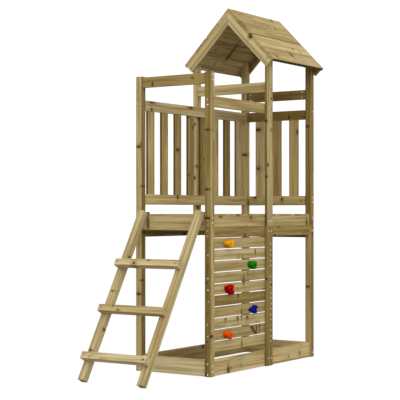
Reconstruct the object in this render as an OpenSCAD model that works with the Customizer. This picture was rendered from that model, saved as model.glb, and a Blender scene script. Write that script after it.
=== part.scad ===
// Wooden climbing frame: a raised deck on four corner posts, with a ladder at the front, a climbing wall
// on the right, slatted railings on the left and at the back, and a gable roof over the rear half.
// Lengths are in millimetres. X runs across the frame, Y from the ladder to the back, Z up from the ground.

/* [Frame] */
// Width of the frame over its corner posts
frame_w = 518; // [460:1:600]
// Length of the frame over its corner posts
frame_l = 1187; // [1080:1:1300]
// Side of the square stock for posts, ladder sides and rungs
post_s = 41; // [36:1:44]
// Radius on the long edges of the square stock
post_round = 4; // [2:0.5:6]
// Height of the joint between lower and upper posts
seam_h = 832; // [800:1:900]
// Diameter of the dowels in the post joints
dowel_d = 8; // [6:1:10]
// Length of the dowels in the post joints
dowel_l = 60; // [40:1:80]
// Reach of the front posts above the top rails
post_over = 5; // [0:1:12]

/* [Boards] */
// Thickness of rails, rims and base boards
rail_t = 22; // [18:1:24]
// Height of rails and rims
rail_h = 60; // [54:1:66]
// Height of the base boards and the front rim
base_h = 92; // [84:1:104]
// Radius on the long edges of boards
board_round = 2.5; // [1:0.5:4]
// Thickness of the flat boards at mid length
strip_t = 17; // [14:1:20]
// Width of the flat boards at mid length
strip_w = 67; // [60:1:80]
// Distance from the front posts' outer faces to the flat boards
strip_y = 596; // [560:1:640]
// Drop of the back lower rim below the side rims
rear_drop = 17; // [0:1:30]

/* [Deck] */
// Thickness of the deck boards
deck_t = 12; // [10:1:16]
// Number of deck boards
deck_n = 18; // [16:1:20]
// Gap between deck boards
deck_gap = 5; // [3:0.5:8]

/* [Railings] */
// Height of the guard rails' top edge above the deck
guard_h = 658; // [620:1:690]
// Gap between the guard rails and the top rails
top_gap = 68; // [50:1:110]
// Gap between the deck and the bottom rails
low_gap = 54; // [40:1:80]
// Width of the upright slats
slat_w = 65; // [50:1:70]
// Thickness of the upright slats
slat_t = 16; // [10:1:16]
// Number of slats on the left side
side_slat_n = 8; // [7:1:9]
// Gap between a corner post and the nearest slat on the left side
slat_end_gap = 40; // [36:1:60]
// Number of slats at the back
back_slat_n = 3; // [2:1:4]
// Depth of the slat seats in the rails
slat_seat = 8; // [5:1:12]
// Distance from the back posts to the screws in the back rails' inner faces
face_in = 26; // [20:1:36]

/* [Climbing wall] */
// Number of climbing boards
climb_n = 10; // [9:1:10]
// Height of a climbing board
climb_h = 58; // [54:0.5:60]
// Gap between climbing boards
climb_gap = 6.2; // [4:0.1:7]
// Gap between the lower rim and the top climbing board
climb_top_gap = 4; // [3:0.5:8]
// Thickness of the climbing boards
climb_t = 18; // [18:1:24]
// Width of a climbing hold
hold_w = 68; // [60:1:76]
// Height of a climbing hold
hold_h = 50; // [44:1:56]
// Depth of a climbing hold
hold_d = 35; // [28:1:38]
// Distance of the holds' bolts below the middle of their boards
hold_drop = 5; // [0:1:10]
// Distance from the front post to the middle of the near holds
hold_near = 139; // [110:1:180]
// Distance from the far holds' middle to the wall stile
hold_far = 153; // [110:1:200]

/* [Roof] */
// Height of the ridge above the front posts
ridge_up = 452; // [420:1:520]
// Slope of the roof in degrees
roof_pitch = 45.5; // [44:0.1:47]
// Reach of the roof past the corner posts
eave_out = 60.5; // [50:0.5:100]
// Thickness of the roof planks
plank_t = 19; // [12:1:22]
// Number of planks on each slope
plank_n = 4; // [3:1:5]
// Gap between roof planks
plank_gap = 1.5; // [1:0.5:4]
// Gap between the upper and the lower planks of a slope
seam_gap = 7; // [1:0.5:8]
// Thickness of a rafter
rafter_t = 15; // [14:1:24]
// Depth of a rafter, square to the slope
rafter_d = 50; // [42:1:54]
// Reach of the planks past the rafters' lower ends
eave_lap = 6; // [2:1:15]
// Height of a rafter cleat at its inner face
cleat_h = 60; // [50:1:62]

/* [Ladder] */
// Lean of the ladder from upright in degrees
ladder_lean = 31; // [27:0.5:34]
// Clearance between a ladder side and its post
ladder_side_fit = 1; // [1:0.5:6]
// Distance between rungs along the ladder
rung_pitch = 286; // [270:1:300]
// Distance from the ladder's top end to the middle of the top rung
rung_top = 356; // [330:1:380]
// Width of a ladder hook
hook_w = 30; // [24:1:34]
// Thickness of a hook's leg behind the ladder side
hook_t = 5; // [3:0.5:6]
// Thickness of a hook's leg on the front rim
hook_top = 11; // [8:0.5:14]
// Length of a hook's leg on the front rim
hook_leg = 26; // [24:1:34]
// Length of a hook's leg down the ladder side
hook_down = 45; // [36:1:60]

/* [Fasteners] */
// Diameter of the long screws through the posts
screw_d = 5; // [4:0.5:6]
// Length of the long screws through the posts
screw_l = 80; // [65:1:90]
// Head diameter of the long screws
screw_head_d = 9.5; // [8.5:0.5:12]
// Diameter of the short screws
small_d = 4; // [3:0.5:5]
// Length of the short screws
small_l = 31; // [28:1:32]
// Head diameter of the short screws
small_head_d = 8; // [7:0.5:9]
// Length of the screws through planks and rafters
roof_screw_l = 46; // [38:1:50]
// Diameter of the bolts in ladder and holds
bolt_d = 6; // [5:0.5:8]
// Head diameter of the bolts in the ladder
bolt_head_d = 15; // [13:0.5:18]
// Clearance around screws, bolts and dowels
hole_fit = 0.15; // [0.1:0.05:0.3]
// Clearance around the slats in their seats
seat_fit = 0.3; // [0.2:0.1:0.6]

/* [Hidden] */

// Overrun of every cut past the face it opens
cut = 1;
$fn = 48;

// Set-back of rails and rims from the posts' outer faces, and the back rails' inner face
rail_in = (post_s - rail_t) / 2;
rail_back_y = frame_l - rail_in - rail_t;
// Middle lines of the posts
near = post_s / 2;
far_x = frame_w - near;
far_y = frame_l - near;
// Levels of the rails and the deck, at each board's lower edge
lower_z = seam_h - rail_h;
rear_z = lower_z - rear_drop;
deck_z = seam_h + rail_h;
deck_top = deck_z + deck_t;
low_z = deck_top + low_gap;
guard_z = deck_top + guard_h - rail_h;
top_z = guard_z + rail_h + top_gap;
post_h = top_z + rail_h + post_over;
// Outer face of the right flat boards, and the back edge of both
strip_x = frame_w - rail_in + strip_t;
strip_end = strip_y + strip_w;

// Shares of a board's height or width at which its screws sit
across_shares = [0.35, 0.8];
along_shares = [0.14, 0.62];
rear_shares = [0.22, 0.75];
base_across_shares = [0.31, 0.66];
base_along_shares = [0.14, 0.78];
strip_shares = [0.28, 0.72];
pair_shares = [0.25, 0.75];
front_rim_shares = [0.3, 0.7];
cleat_shares = [0.14, 0.4];
cleat_column_share = 0.8;
climb_column_share = 0.62;
stub_share = 0.6;
hook_down_share = 0.65;
face_top_shares = [0.23, 0.78];
face_guard_shares = [0.26];
middle_shares = [0.5];
screw_tip_share = 0.12;
bolt_dome_share = 0.3;

// Deck boards
deck_span = frame_l - 2 * post_s;
deck_w = (deck_span - (deck_n - 1) * deck_gap) / deck_n;
function deck_y(i) = post_s + i * (deck_w + deck_gap);

// Slats
slat_low = low_z + rail_h - slat_seat;
slat_l = guard_z + slat_seat - slat_low;
side_slat_pitch = (deck_span - slat_w - 2 * slat_end_gap) / (side_slat_n - 1);
back_slat_gap = (frame_w - 2 * post_s - back_slat_n * slat_w) / (back_slat_n + 1);
slat_in = near - slat_t / 2;
function side_slat_y(i) = post_s + slat_end_gap + i * side_slat_pitch;
function back_slat_x(i) = post_s + back_slat_gap + i * (slat_w + back_slat_gap);

// Climbing wall
climb_x = frame_w - rail_in - climb_t;
climb_pitch = climb_h + climb_gap;
function climb_z(i) = lower_z - climb_top_gap - climb_h - i * climb_pitch;
hold_x = frame_w - rail_in;
hold_y = [post_s + hold_near, strip_y - hold_far];
function hold_z(k) = climb_z(2 * k) + climb_h / 2 - hold_drop;

// Roof, measured down the slope from the ridge
ridge_h = post_h + ridge_up;
roof_half = frame_w / 2 + eave_out;
slope_l = roof_half / cos(roof_pitch);
plank_w = (slope_l - (plank_n - 2) * plank_gap - seam_gap) / plank_n;
rafter_low = plank_t + rafter_d;
function plank_s(k) = k * (plank_w + plank_gap) + (k < plank_n / 2 ? 0 : seam_gap - plank_gap);
// Height of the planks' underside at a level distance from the ridge
function under_planks(run) = ridge_h - run * tan(roof_pitch) - plank_t / cos(roof_pitch);
cleat_in = rail_in + rail_t;
cleat_z = under_planks(frame_w / 2 - cleat_in) - cleat_h;
rafter_screw_z = under_planks(frame_w / 2 - near) - rafter_d / cos(roof_pitch) / 2;
front_rafter_y = strip_y - rafter_t;
back_rafter_y = frame_l;

// Ladder, measured from the top back edge of its sides
ladder_y = rail_in - hook_t / cos(ladder_lean) - hole_fit;
side_l = deck_top / cos(ladder_lean);
side_in = post_s + ladder_side_fit;
ladder_w = frame_w - 2 * side_in;
bolt_x = [side_in + near, frame_w - side_in - near];
rung_n = 3;
function rung_z(k) = -rung_top - k * rung_pitch;

// Bolt parts
bolt_dome = bolt_head_d * bolt_dome_share;
washer_d = 2 * bolt_d;
washer_t = bolt_d / 4;
nut_d = 2 * bolt_d;
nut_h = bolt_d * 0.8;
flange_d = 3 * bolt_d;
barrel_d = 1.5 * bolt_d;
barrel_l = climb_t / 2;
recess_d = 2.2 * bolt_d;
recess_h = hold_d / 2;

// Placing: the footprint's middle is the origin
front_reach = ladder_y - side_l * sin(ladder_lean) - post_s * cos(ladder_lean);
back_reach = back_rafter_y + rafter_t;
front_y = -(front_reach + back_reach) / 2;

module at_frame() {
    translate([-frame_w / 2, front_y, 0]) children();
}

// The ladder's own axes: Z runs up its sides and -Y out of their front, from their top back edge
module on_ladder() {
    translate([0, ladder_y, deck_top]) rotate([-ladder_lean, 0, 0]) children();
}

// One slope of the roof: X runs down the slope from the ridge, Z out of it; hand is 1 right, -1 left
module on_slope(hand) {
    translate([frame_w / 2, 0, ridge_h]) mirror([hand < 0 ? 1 : 0, 0, 0])
        rotate([0, roof_pitch, 0]) children();
}

// Screws are listed as [head point, direction, length, diameter, head diameter]
function long_screw(p, d) = [p, d, screw_l, screw_d, screw_head_d];
function short_screw(p, d) = [p, d, small_l, small_d, small_head_d];
function roof_screw(p, d) = [p, d, roof_screw_l, small_d, small_head_d];
function stub_screw(p, d) = [p, d, stub_share * small_l, small_d, small_head_d];

// Short screws in the back rails' inner faces
function face_screws(z, shares) = [for (s = shares, x = [post_s + face_in, frame_w - post_s - face_in])
    stub_screw([x, rail_back_y, z + s * rail_h], [0, 1, 0])];

function across_screws(y, z, h, shares) =
    [for (s = shares, e = [0, 1]) long_screw([e * frame_w, y, z + s * h], [1 - 2 * e, 0, 0])];
function along_screws(x, z, h, shares) =
    [for (s = shares, e = [0, 1]) long_screw([x, e * frame_l, z + s * h], [0, 1 - 2 * e, 0])];

LONG_SCREWS = concat(
    across_screws(near, 0, base_h, base_across_shares),
    across_screws(far_y, 0, base_h, base_across_shares),
    along_screws(near, 0, base_h, base_along_shares),
    along_screws(far_x, 0, base_h, base_along_shares),
    across_screws(far_y, rear_z, rail_h, rear_shares),
    along_screws(near, lower_z, rail_h, along_shares),
    along_screws(far_x, lower_z, rail_h, along_shares),
    across_screws(near, seam_h, deck_top - seam_h, front_rim_shares),
    across_screws(far_y, seam_h, rail_h, across_shares),
    along_screws(near, seam_h, rail_h, along_shares),
    along_screws(far_x, seam_h, rail_h, along_shares),
    across_screws(near, top_z, rail_h, across_shares),
    across_screws(far_y, top_z, rail_h, middle_shares),
    across_screws(far_y, guard_z, rail_h, [across_shares[1]]),
    across_screws(far_y, low_z, rail_h, across_shares),
    along_screws(near, guard_z, rail_h, along_shares),
    along_screws(near, low_z, rail_h, along_shares),
    [for (s = along_shares) long_screw([far_x, 0, guard_z + s * rail_h], [0, 1, 0])],
    [for (i = [0 : climb_n - 1]) long_screw([climb_x + climb_t / 2, 0, climb_z(i) + climb_h / 2], [0, 1, 0])],
    [for (s = across_shares, e = [0, 1])
        long_screw([e == 0 ? frame_w - strip_x : strip_x, strip_y + strip_w / 2, top_z + s * rail_h],
            [1 - 2 * e, 0, 0])]);

BOARD_SCREWS = concat(
    face_screws(top_z, face_top_shares),
    face_screws(guard_z, face_guard_shares),
    [for (s = strip_shares, z = [base_h / 2, lower_z + rail_h / 2, deck_z - rail_h / 2, guard_z + rail_h / 2])
        short_screw([strip_x, strip_y + s * strip_w, z], [-1, 0, 0])],
    [for (s = pair_shares, i = [0 : climb_n - 1])
        short_screw([strip_x, strip_y + climb_column_share * strip_w, climb_z(i) + s * climb_h], [-1, 0, 0])],
    [for (s = strip_shares, z = [deck_z - rail_h / 2, low_z + rail_h / 2, guard_z + rail_h / 2])
        short_screw([rail_in + rail_t, strip_y + s * strip_w, z], [-1, 0, 0])],
    [for (s = cleat_shares, e = [0, 1])
        short_screw([e == 0 ? cleat_in : frame_w - cleat_in, strip_y + cleat_column_share * strip_w,
            cleat_z + s * cleat_h], [2 * e - 1, 0, 0])]);

// Hook screws go down into the front rim and into the ladder sides from behind
lean_y = sin(ladder_lean);
lean_z = cos(ladder_lean);
HOOK_SCREWS = [for (x = bolt_x) each [
    short_screw([x, near, deck_top + hook_top], [0, 0, -1]),
    stub_screw([x, ladder_y + hook_t * lean_z - hook_down_share * hook_down * lean_y,
        deck_top - hook_t * lean_y - hook_down_share * hook_down * lean_z], [0, -lean_z, lean_y])]];

DECK_SCREWS = [for (i = [0 : deck_n - 1], x = [near, far_x])
    short_screw([x, deck_y(i) + deck_w / 2, deck_top], [0, 0, -1])];

// The screws nearest the ridge keep clear of those in the other slope
ridge_run = roof_screw_l * tan(roof_pitch) + small_head_d;
PLANK_SCREWS = [for (h = [-1, 1], k = [0 : plank_n - 1], s = pair_shares, y = [front_rafter_y, back_rafter_y])
    let (run = max(ridge_run, plank_s(k) + s * plank_w))
    roof_screw([frame_w / 2 + h * run * cos(roof_pitch), y + rafter_t / 2, ridge_h - run * sin(roof_pitch)],
        [-h * sin(roof_pitch), 0, -cos(roof_pitch)])];
RAFTER_SCREWS = [for (x = [near, far_x], e = [0, 1])
    roof_screw([x, e == 0 ? front_rafter_y : back_rafter_y + rafter_t, rafter_screw_z], [0, 1 - 2 * e, 0])];
ROOF_SCREWS = concat(PLANK_SCREWS, RAFTER_SCREWS);

ALL_SCREWS = concat(LONG_SCREWS, BOARD_SCREWS, HOOK_SCREWS, DECK_SCREWS, ROOF_SCREWS);

// Whether a screw's box meets the box from lo to hi
function meets(s, lo, hi) = let (a = s[0], b = s[0] + s[2] * s[1], m = s[4] / 2)
    min([for (i = [0 : 2]) min(hi[i] - min(a[i], b[i]) + m, max(a[i], b[i]) + m - lo[i])]) > 0;

module aim(p, d) {
    translate(p) rotate([0, acos(d[2]), atan2(d[1], d[0])]) children();
}

module screw(s) {
    cone = (s[4] - s[3]) / 2;
    tip = s[2] * screw_tip_share;
    aim(s[0], s[1]) rotate_extrude()
        polygon([[0, 0], [s[4] / 2, 0], [s[3] / 2, cone], [s[3] / 2, s[2] - tip], [0, s[2]]]);
}

module screw_hole(s) {
    cone = (s[4] - s[3]) / 2;
    aim(s[0], s[1]) rotate_extrude()
        polygon([[0, -s[4]], [s[4] / 2 + hole_fit, -s[4]], [s[4] / 2 + hole_fit, 0],
            [s[3] / 2 + hole_fit, cone], [s[3] / 2 + hole_fit, s[2] + hole_fit], [0, s[2] + hole_fit]]);
}

module drill(lo, hi) {
    difference() {
        children();
        for (s = ALL_SCREWS) if (meets(s, lo, hi)) screw_hole(s);
    }
}

module round_rect(w, h, r) {
    translate([r, 0]) square([w - 2 * r, h]);
    translate([0, r]) square([w, h - 2 * r]);
    for (x = [r, w - r], y = [r, h - r]) translate([x, y]) circle(r);
}

// A length of timber with rounded long edges; along is 0, 1 or 2 for X, Y or Z
module timber(lo, size, along, r) {
    translate(lo) {
        if (along == 0) rotate([90, 0, 90]) linear_extrude(size[0]) round_rect(size[1], size[2], r);
        if (along == 1) translate([0, size[1], 0]) rotate([90, 0, 0])
            linear_extrude(size[1]) round_rect(size[0], size[2], r);
        if (along == 2) linear_extrude(size[2]) round_rect(size[0], size[1], r);
    }
}

module board(lo, size, along) {
    drill(lo, lo + size) timber(lo, size, along, board_round);
}

// Posts
module dowels(x, y, fit) {
    for (s = [-1, 1])
        translate([x + near + s * near / 2, y + near + s * near / 2, seam_h - dowel_l / 2 - fit])
            cylinder(d = dowel_d + 2 * fit, h = dowel_l + 2 * fit);
}

module post(x, y, z, h) {
    at_frame() difference() {
        drill([x, y, z], [x + post_s, y + post_s, z + h])
            timber([x, y, z], [post_s, post_s, h], 2, post_round);
        dowels(x, y, hole_fit);
    }
}

// Room above the undersides of the planks on one slope
module above_planks(hand) {
    on_slope(hand) translate([-slope_l, -cut, -plank_t]) cube([3 * slope_l, frame_l + 2 * cut, slope_l]);
}

module back_post(x, hand) {
    at_frame() difference() {
        drill([x, frame_l - post_s, seam_h], [x + post_s, frame_l, ridge_h])
            timber([x, frame_l - post_s, seam_h], [post_s, post_s, ridge_h - seam_h], 2, post_round);
        dowels(x, frame_l - post_s, hole_fit);
        above_planks(hand);
    }
}

module front_left_lower_post() color("burlywood") post(0, 0, 0, seam_h);
module front_right_lower_post() color("burlywood") post(frame_w - post_s, 0, 0, seam_h);
module back_left_lower_post() color("burlywood") post(0, frame_l - post_s, 0, seam_h);
module back_right_lower_post() color("burlywood") post(frame_w - post_s, frame_l - post_s, 0, seam_h);
module front_left_upper_post() color("tan") post(0, 0, seam_h, post_h - seam_h);
module front_right_upper_post() color("tan") post(frame_w - post_s, 0, seam_h, post_h - seam_h);
module back_left_upper_post() color("tan") back_post(0, -1);
module back_right_upper_post() color("tan") back_post(frame_w - post_s, 1);

module post_dowels() {
    color("wheat") at_frame()
        for (x = [0, frame_w - post_s], y = [0, frame_l - post_s]) dowels(x, y, 0);
}

// Flat boards at mid length
module middle_board(x, hand) {
    at_frame() difference() {
        drill([x, strip_y, seam_h], [x + strip_t, strip_end, ridge_h])
            timber([x, strip_y, seam_h], [strip_t, strip_w, ridge_h - seam_h], 2, board_round);
        above_planks(hand);
    }
}

module middle_board_left() color("tan") middle_board(frame_w - strip_x, -1);
module middle_board_right() color("tan") middle_board(strip_x - strip_t, 1);

module wall_stile() {
    color("burlywood") at_frame() board([strip_x - strip_t, strip_y, 0], [strip_t, strip_w, seam_h], 2);
}

// Boards and rails between the posts
module across(y, z, h) {
    at_frame() board([post_s, y, z], [frame_w - 2 * post_s, rail_t, h], 0);
}

module along(x, z, h) {
    at_frame() board([x, post_s, z], [rail_t, deck_span, h], 1);
}

left_x = rail_in;
right_x = frame_w - rail_in - rail_t;

module front_base_board() color("peru") across(rail_in, 0, base_h);
module back_base_board() color("peru") across(rail_back_y, 0, base_h);
module left_base_board() color("peru") along(left_x, 0, base_h);
module right_base_board() color("peru") along(right_x, 0, base_h);
module left_lower_rim() color("peru") along(left_x, lower_z, rail_h);
module right_lower_rim() color("peru") along(right_x, lower_z, rail_h);
module back_lower_rim() color("peru") across(rail_back_y, rear_z, rail_h);
module front_rim() color("sandybrown") across(rail_in, deck_top - base_h, base_h);
module left_upper_rim() color("sandybrown") along(left_x, seam_h, rail_h);
module right_upper_rim() color("sandybrown") along(right_x, seam_h, rail_h);
module back_upper_rim() color("sandybrown") across(rail_back_y, seam_h, rail_h);
module front_top_rail() color("tan") across(rail_in, top_z, rail_h);
module back_top_rail() color("tan") across(rail_back_y, top_z, rail_h);

module middle_top_rail() {
    color("tan") at_frame() board([rail_in, strip_y + (strip_w - rail_t) / 2, top_z],
        [frame_w - 2 * rail_in, rail_t, rail_h], 0);
}

module right_guard_rail() {
    color("tan") at_frame() board([right_x, post_s, guard_z], [rail_t, strip_end - post_s, rail_h], 1);
}

// Railings with slats
module side_slat(i, fit) {
    timber([slat_in - fit, side_slat_y(i) - fit, slat_low], [slat_t + 2 * fit, slat_w + 2 * fit, slat_l],
        2, board_round);
}

module back_slat(i, fit) {
    timber([back_slat_x(i) - fit, frame_l - slat_in - slat_t - fit, slat_low],
        [slat_w + 2 * fit, slat_t + 2 * fit, slat_l], 2, board_round);
}

module left_slats() {
    color("wheat") at_frame() for (i = [0 : side_slat_n - 1]) side_slat(i, 0);
}

module back_slats() {
    color("wheat") at_frame() for (i = [0 : back_slat_n - 1]) back_slat(i, 0);
}

module side_rail(z) {
    difference() {
        along(left_x, z, rail_h);
        at_frame() for (i = [0 : side_slat_n - 1]) side_slat(i, seat_fit);
    }
}

module back_rail(z) {
    difference() {
        across(rail_back_y, z, rail_h);
        at_frame() for (i = [0 : back_slat_n - 1]) back_slat(i, seat_fit);
    }
}

module left_guard_rail() color("tan") side_rail(guard_z);
module left_bottom_rail() color("tan") side_rail(low_z);
module back_guard_rail() color("tan") back_rail(guard_z);
module back_bottom_rail() color("tan") back_rail(low_z);

// Deck
module deck_boards() {
    color("wheat") at_frame() for (i = [0 : deck_n - 1])
        board([rail_in, deck_y(i), deck_z], [frame_w - 2 * rail_in, deck_w, deck_t], 0);
}

// Climbing wall
module climbing_boards() {
    color("burlywood") at_frame() difference() {
        for (i = [0 : climb_n - 1])
            board([climb_x, post_s, climb_z(i)], [climb_t, strip_end - post_s, climb_h], 1);
        for (k = [0 : 4]) at_hold(k) nut_room();
    }
}

// Place of hold k: Z runs out of the wall from the boards' outer face, X towards the back, Y up
module at_hold(k) {
    translate([hold_x, hold_y[k % 2], hold_z(k)]) rotate([90, 0, 90]) children();
}

// A hold is a few rounded lobes, each [X share, Y share, radius share, depth share] of the hold's sizes
YELLOW = [[-0.24, 0.07, 0.58, 0.9], [0.3, 0.16, 0.6, 1], [0.14, -0.01, 0.8, 0.97]];
GREEN = [[-0.3, 0.11, 0.79, 0.88], [0.15, 0.16, 0.62, 0.94], [0.06, 0, 0.94, 0.88]];
RED = [[-0.07, 0.05, 0.78, 0.9], [0.27, 0.18, 0.68, 1], [0.27, -0.18, 0.77, 1]];
BLUE = [[-0.18, -0.02, 0.52, 0.91], [0.22, 0.11, 0.65, 0.95], [0.19, -0.19, 0.58, 0.89], [0, 0, 0.62, 0.86]];
ORANGE = [[-0.28, 0.1, 0.73, 0.91], [0.12, 0.17, 0.51, 0.89], [0.08, -0.02, 0.9, 0.88]];

lobe_shoulder_share = 0.86;
lobe_top_share = 0.55;

module lobe(l) {
    r = l[2] * hold_h / 2;
    d = l[3] * hold_d;
    translate([l[0] * hold_w, l[1] * hold_h, 0]) hull() {
        cylinder(r = r, h = d / 2, $fn = 32);
        cylinder(r = r * lobe_shoulder_share, h = d - d / 4, $fn = 32);
        cylinder(r = r * lobe_top_share, h = d, $fn = 32);
    }
}

module hold(k, lobes) {
    at_frame() at_hold(k) difference() {
        for (l = lobes) lobe(l);
        translate([0, 0, -cut]) cylinder(d = bolt_d + 2 * hole_fit, h = hold_d + 2 * cut);
        translate([0, 0, recess_h]) cylinder(d = recess_d, h = hold_d);
    }
}

module yellow_hold() color("gold") hold(0, YELLOW);
module green_hold() color("green") hold(1, GREEN);
module red_hold() color("firebrick") hold(2, RED);
module blue_hold() color("navy") hold(3, BLUE);
module orange_hold() color("orangered") hold(4, ORANGE);

module nut_room() {
    translate([0, 0, -climb_t - cut]) cylinder(d = bolt_d + 2 * hole_fit, h = climb_t + 2 * cut);
    translate([0, 0, -climb_t - cut]) cylinder(d = barrel_d + 2 * hole_fit, h = barrel_l + hole_fit + cut);
}

module hold_nut() {
    translate([0, 0, -climb_t]) difference() {
        union() {
            translate([0, 0, -washer_t]) cylinder(d = flange_d, h = washer_t);
            cylinder(d = barrel_d, h = barrel_l);
        }
        translate([0, 0, -washer_t - cut])
            cylinder(d = bolt_d + 2 * hole_fit, h = washer_t + barrel_l + 2 * cut);
    }
}

module hold_bolt() {
    translate([0, 0, -climb_t - washer_t]) cylinder(d = bolt_d, h = climb_t + washer_t + recess_h + cut);
    translate([0, 0, recess_h]) cylinder(d = recess_d - 4 * hole_fit, h = bolt_d);
}

module hold_bolts() {
    color("silver") at_frame() for (k = [0 : 4]) at_hold(k) {
        hold_bolt();
        hold_nut();
    }
}

// Roof
module slope_piece(hand, y, l, points) {
    on_slope(hand) translate([0, y + l, 0]) rotate([90, 0, 0]) linear_extrude(l) polygon(points);
}

// Start of a layer on the mitre below the ridge, at a depth under the roof's top face
function mitre(depth) = depth * tan(roof_pitch);

module rafter(hand, y) {
    foot = slope_l - eave_lap;
    x = frame_w / 2 + (hand < 0 ? -roof_half : 0);
    at_frame() drill([x, y, cleat_z - rafter_low], [x + roof_half, y + rafter_t, ridge_h])
        slope_piece(hand, y, rafter_t, [[mitre(plank_t), -plank_t], [foot, -plank_t],
            [foot, -rafter_low], [mitre(rafter_low), -rafter_low]]);
}

module roof_planks(hand) {
    y = front_rafter_y;
    l = back_reach - front_rafter_y;
    at_frame() for (k = [0 : plank_n - 1])
        difference() {
            slope_piece(hand, y, l, [[plank_s(k), 0], [plank_s(k) + plank_w, 0],
                [plank_s(k) + plank_w, -plank_t], [max(plank_s(k), mitre(plank_t)), -plank_t]]);
            for (s = PLANK_SCREWS) if (s[1][0] * hand < 0) screw_hole(s);
        }
}

module front_left_rafter() color("peru") rafter(-1, front_rafter_y);
module front_right_rafter() color("peru") rafter(1, front_rafter_y);
module back_left_rafter() color("peru") rafter(-1, back_rafter_y);
module back_right_rafter() color("peru") rafter(1, back_rafter_y);
module left_roof_planks() color("sandybrown") roof_planks(-1);
module right_roof_planks() color("sandybrown") roof_planks(1);

module rafter_cleats() {
    color("peru") at_frame() for (hand = [-1, 1]) {
        x = hand < 0 ? rail_in : frame_w - cleat_in;
        difference() {
            drill([x, strip_y, cleat_z], [x + rail_t, strip_end, ridge_h])
                timber([x, strip_y, cleat_z], [rail_t, strip_w, ridge_h - cleat_z], 2, board_round);
            above_planks(hand);
        }
    }
}

// Ladder
module bolt_hole(x, k) {
    translate([x, cut, rung_z(k)]) rotate([90, 0, 0])
        cylinder(d = bolt_d + 2 * hole_fit, h = 2 * post_s + 2 * cut);
}

module ladder_side(x) {
    at_frame() difference() {
        on_ladder() timber([x, -post_s, -side_l], [post_s, post_s, side_l], 2, post_round);
        on_ladder() for (k = [0 : rung_n - 1]) bolt_hole(x + near, k);
        for (s = HOOK_SCREWS) if (abs(s[0][0] - x - near) < near) screw_hole(s);
    }
}

module rung(k) {
    at_frame() on_ladder() difference() {
        timber([side_in, -2 * post_s, rung_z(k) - near], [ladder_w, post_s, post_s], 0, post_round);
        for (x = bolt_x) bolt_hole(x, k);
    }
}

module left_ladder_side() color("burlywood") ladder_side(side_in);
module right_ladder_side() color("burlywood") ladder_side(frame_w - side_in - post_s);
module top_rung() color("tan") rung(0);
module middle_rung() color("tan") rung(1);
module bottom_rung() color("tan") rung(2);

// A bolt lies along Z with its dome below zero; nut and washer are at the far end of its grip
module ladder_bolt() {
    ball = (bolt_head_d * bolt_head_d / 4 + bolt_dome * bolt_dome) / (2 * bolt_dome);
    intersection() {
        translate([0, 0, ball - bolt_dome]) sphere(ball);
        translate([0, 0, -bolt_dome]) cylinder(d = bolt_head_d, h = bolt_dome);
    }
    cylinder(d = bolt_d, h = 2 * post_s + washer_t + nut_h + cut);
}

module ladder_nut() {
    translate([0, 0, 2 * post_s]) difference() {
        cylinder(d = washer_d + bolt_d, h = washer_t);
        translate([0, 0, -cut]) cylinder(d = bolt_d + 2 * hole_fit, h = washer_t + 2 * cut);
    }
    translate([0, 0, 2 * post_s + washer_t]) difference() {
        cylinder(d = nut_d, h = nut_h, $fn = 6);
        translate([0, 0, -cut]) cylinder(d = bolt_d + 2 * hole_fit, h = nut_h + 2 * cut);
    }
}

module ladder_bolts() {
    color("silver") at_frame() on_ladder() for (x = bolt_x, k = [0 : rung_n - 1])
        translate([x, -2 * post_s, rung_z(k)]) rotate([-90, 0, 0]) {
            ladder_bolt();
            ladder_nut();
        }
}

// A hook's side view: one leg on the front rim, one down the back of the ladder side
module hook(x) {
    at_frame() difference() {
        translate([x - hook_w / 2, ladder_y, deck_top]) rotate([90, 0, 90]) linear_extrude(hook_w)
            polygon([[hook_top * tan(ladder_lean), hook_top], [-hook_down * lean_y, -hook_down * lean_z],
                [hook_t * lean_z - hook_down * lean_y, -hook_t * lean_y - hook_down * lean_z],
                [hook_t / lean_z, 0], [hook_leg, 0], [hook_leg, hook_top]]);
        for (s = HOOK_SCREWS) if (abs(s[0][0] - x) < near) screw_hole(s);
    }
}

module left_ladder_hook() color("dimgray") hook(bolt_x[0]);
module right_ladder_hook() color("dimgray") hook(bolt_x[1]);

// Screws
module frame_screws() {
    color("silver") at_frame() for (s = LONG_SCREWS) screw(s);
}

module board_screws() {
    color("silver") at_frame() for (s = concat(BOARD_SCREWS, HOOK_SCREWS)) screw(s);
}

module deck_screws() {
    color("silver") at_frame() for (s = DECK_SCREWS) screw(s);
}

module roof_screws() {
    color("silver") at_frame() for (s = ROOF_SCREWS) screw(s);
}

front_left_lower_post();
front_right_lower_post();
back_left_lower_post();
back_right_lower_post();
front_left_upper_post();
front_right_upper_post();
back_left_upper_post();
back_right_upper_post();
middle_board_left();
middle_board_right();
wall_stile();
front_base_board();
back_base_board();
left_base_board();
right_base_board();
left_lower_rim();
right_lower_rim();
back_lower_rim();
front_rim();
left_upper_rim();
right_upper_rim();
back_upper_rim();
front_top_rail();
middle_top_rail();
back_top_rail();
right_guard_rail();
left_guard_rail();
left_bottom_rail();
back_guard_rail();
back_bottom_rail();
left_slats();
back_slats();
deck_boards();
climbing_boards();
front_left_rafter();
front_right_rafter();
back_left_rafter();
back_right_rafter();
left_roof_planks();
right_roof_planks();
rafter_cleats();
left_ladder_side();
right_ladder_side();
top_rung();
middle_rung();
bottom_rung();
left_ladder_hook();
right_ladder_hook();
yellow_hold();
green_hold();
red_hold();
blue_hold();
orange_hold();
post_dowels();
frame_screws();
board_screws();
deck_screws();
roof_screws();
ladder_bolts();
hold_bolts();
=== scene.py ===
# %% [markdown]
# # A wooden climbing frame
# A raised deck on square posts, with a leaning ladder, a wall of climbing boards with moulded holds, slatted
# railings and a gable roof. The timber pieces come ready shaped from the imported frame, so this lesson is mostly
# about finishes: treated pine that looks cut from a log, zinc-plated screws, painted steel and moulded holds.

# %% Load the frame
import math

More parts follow.
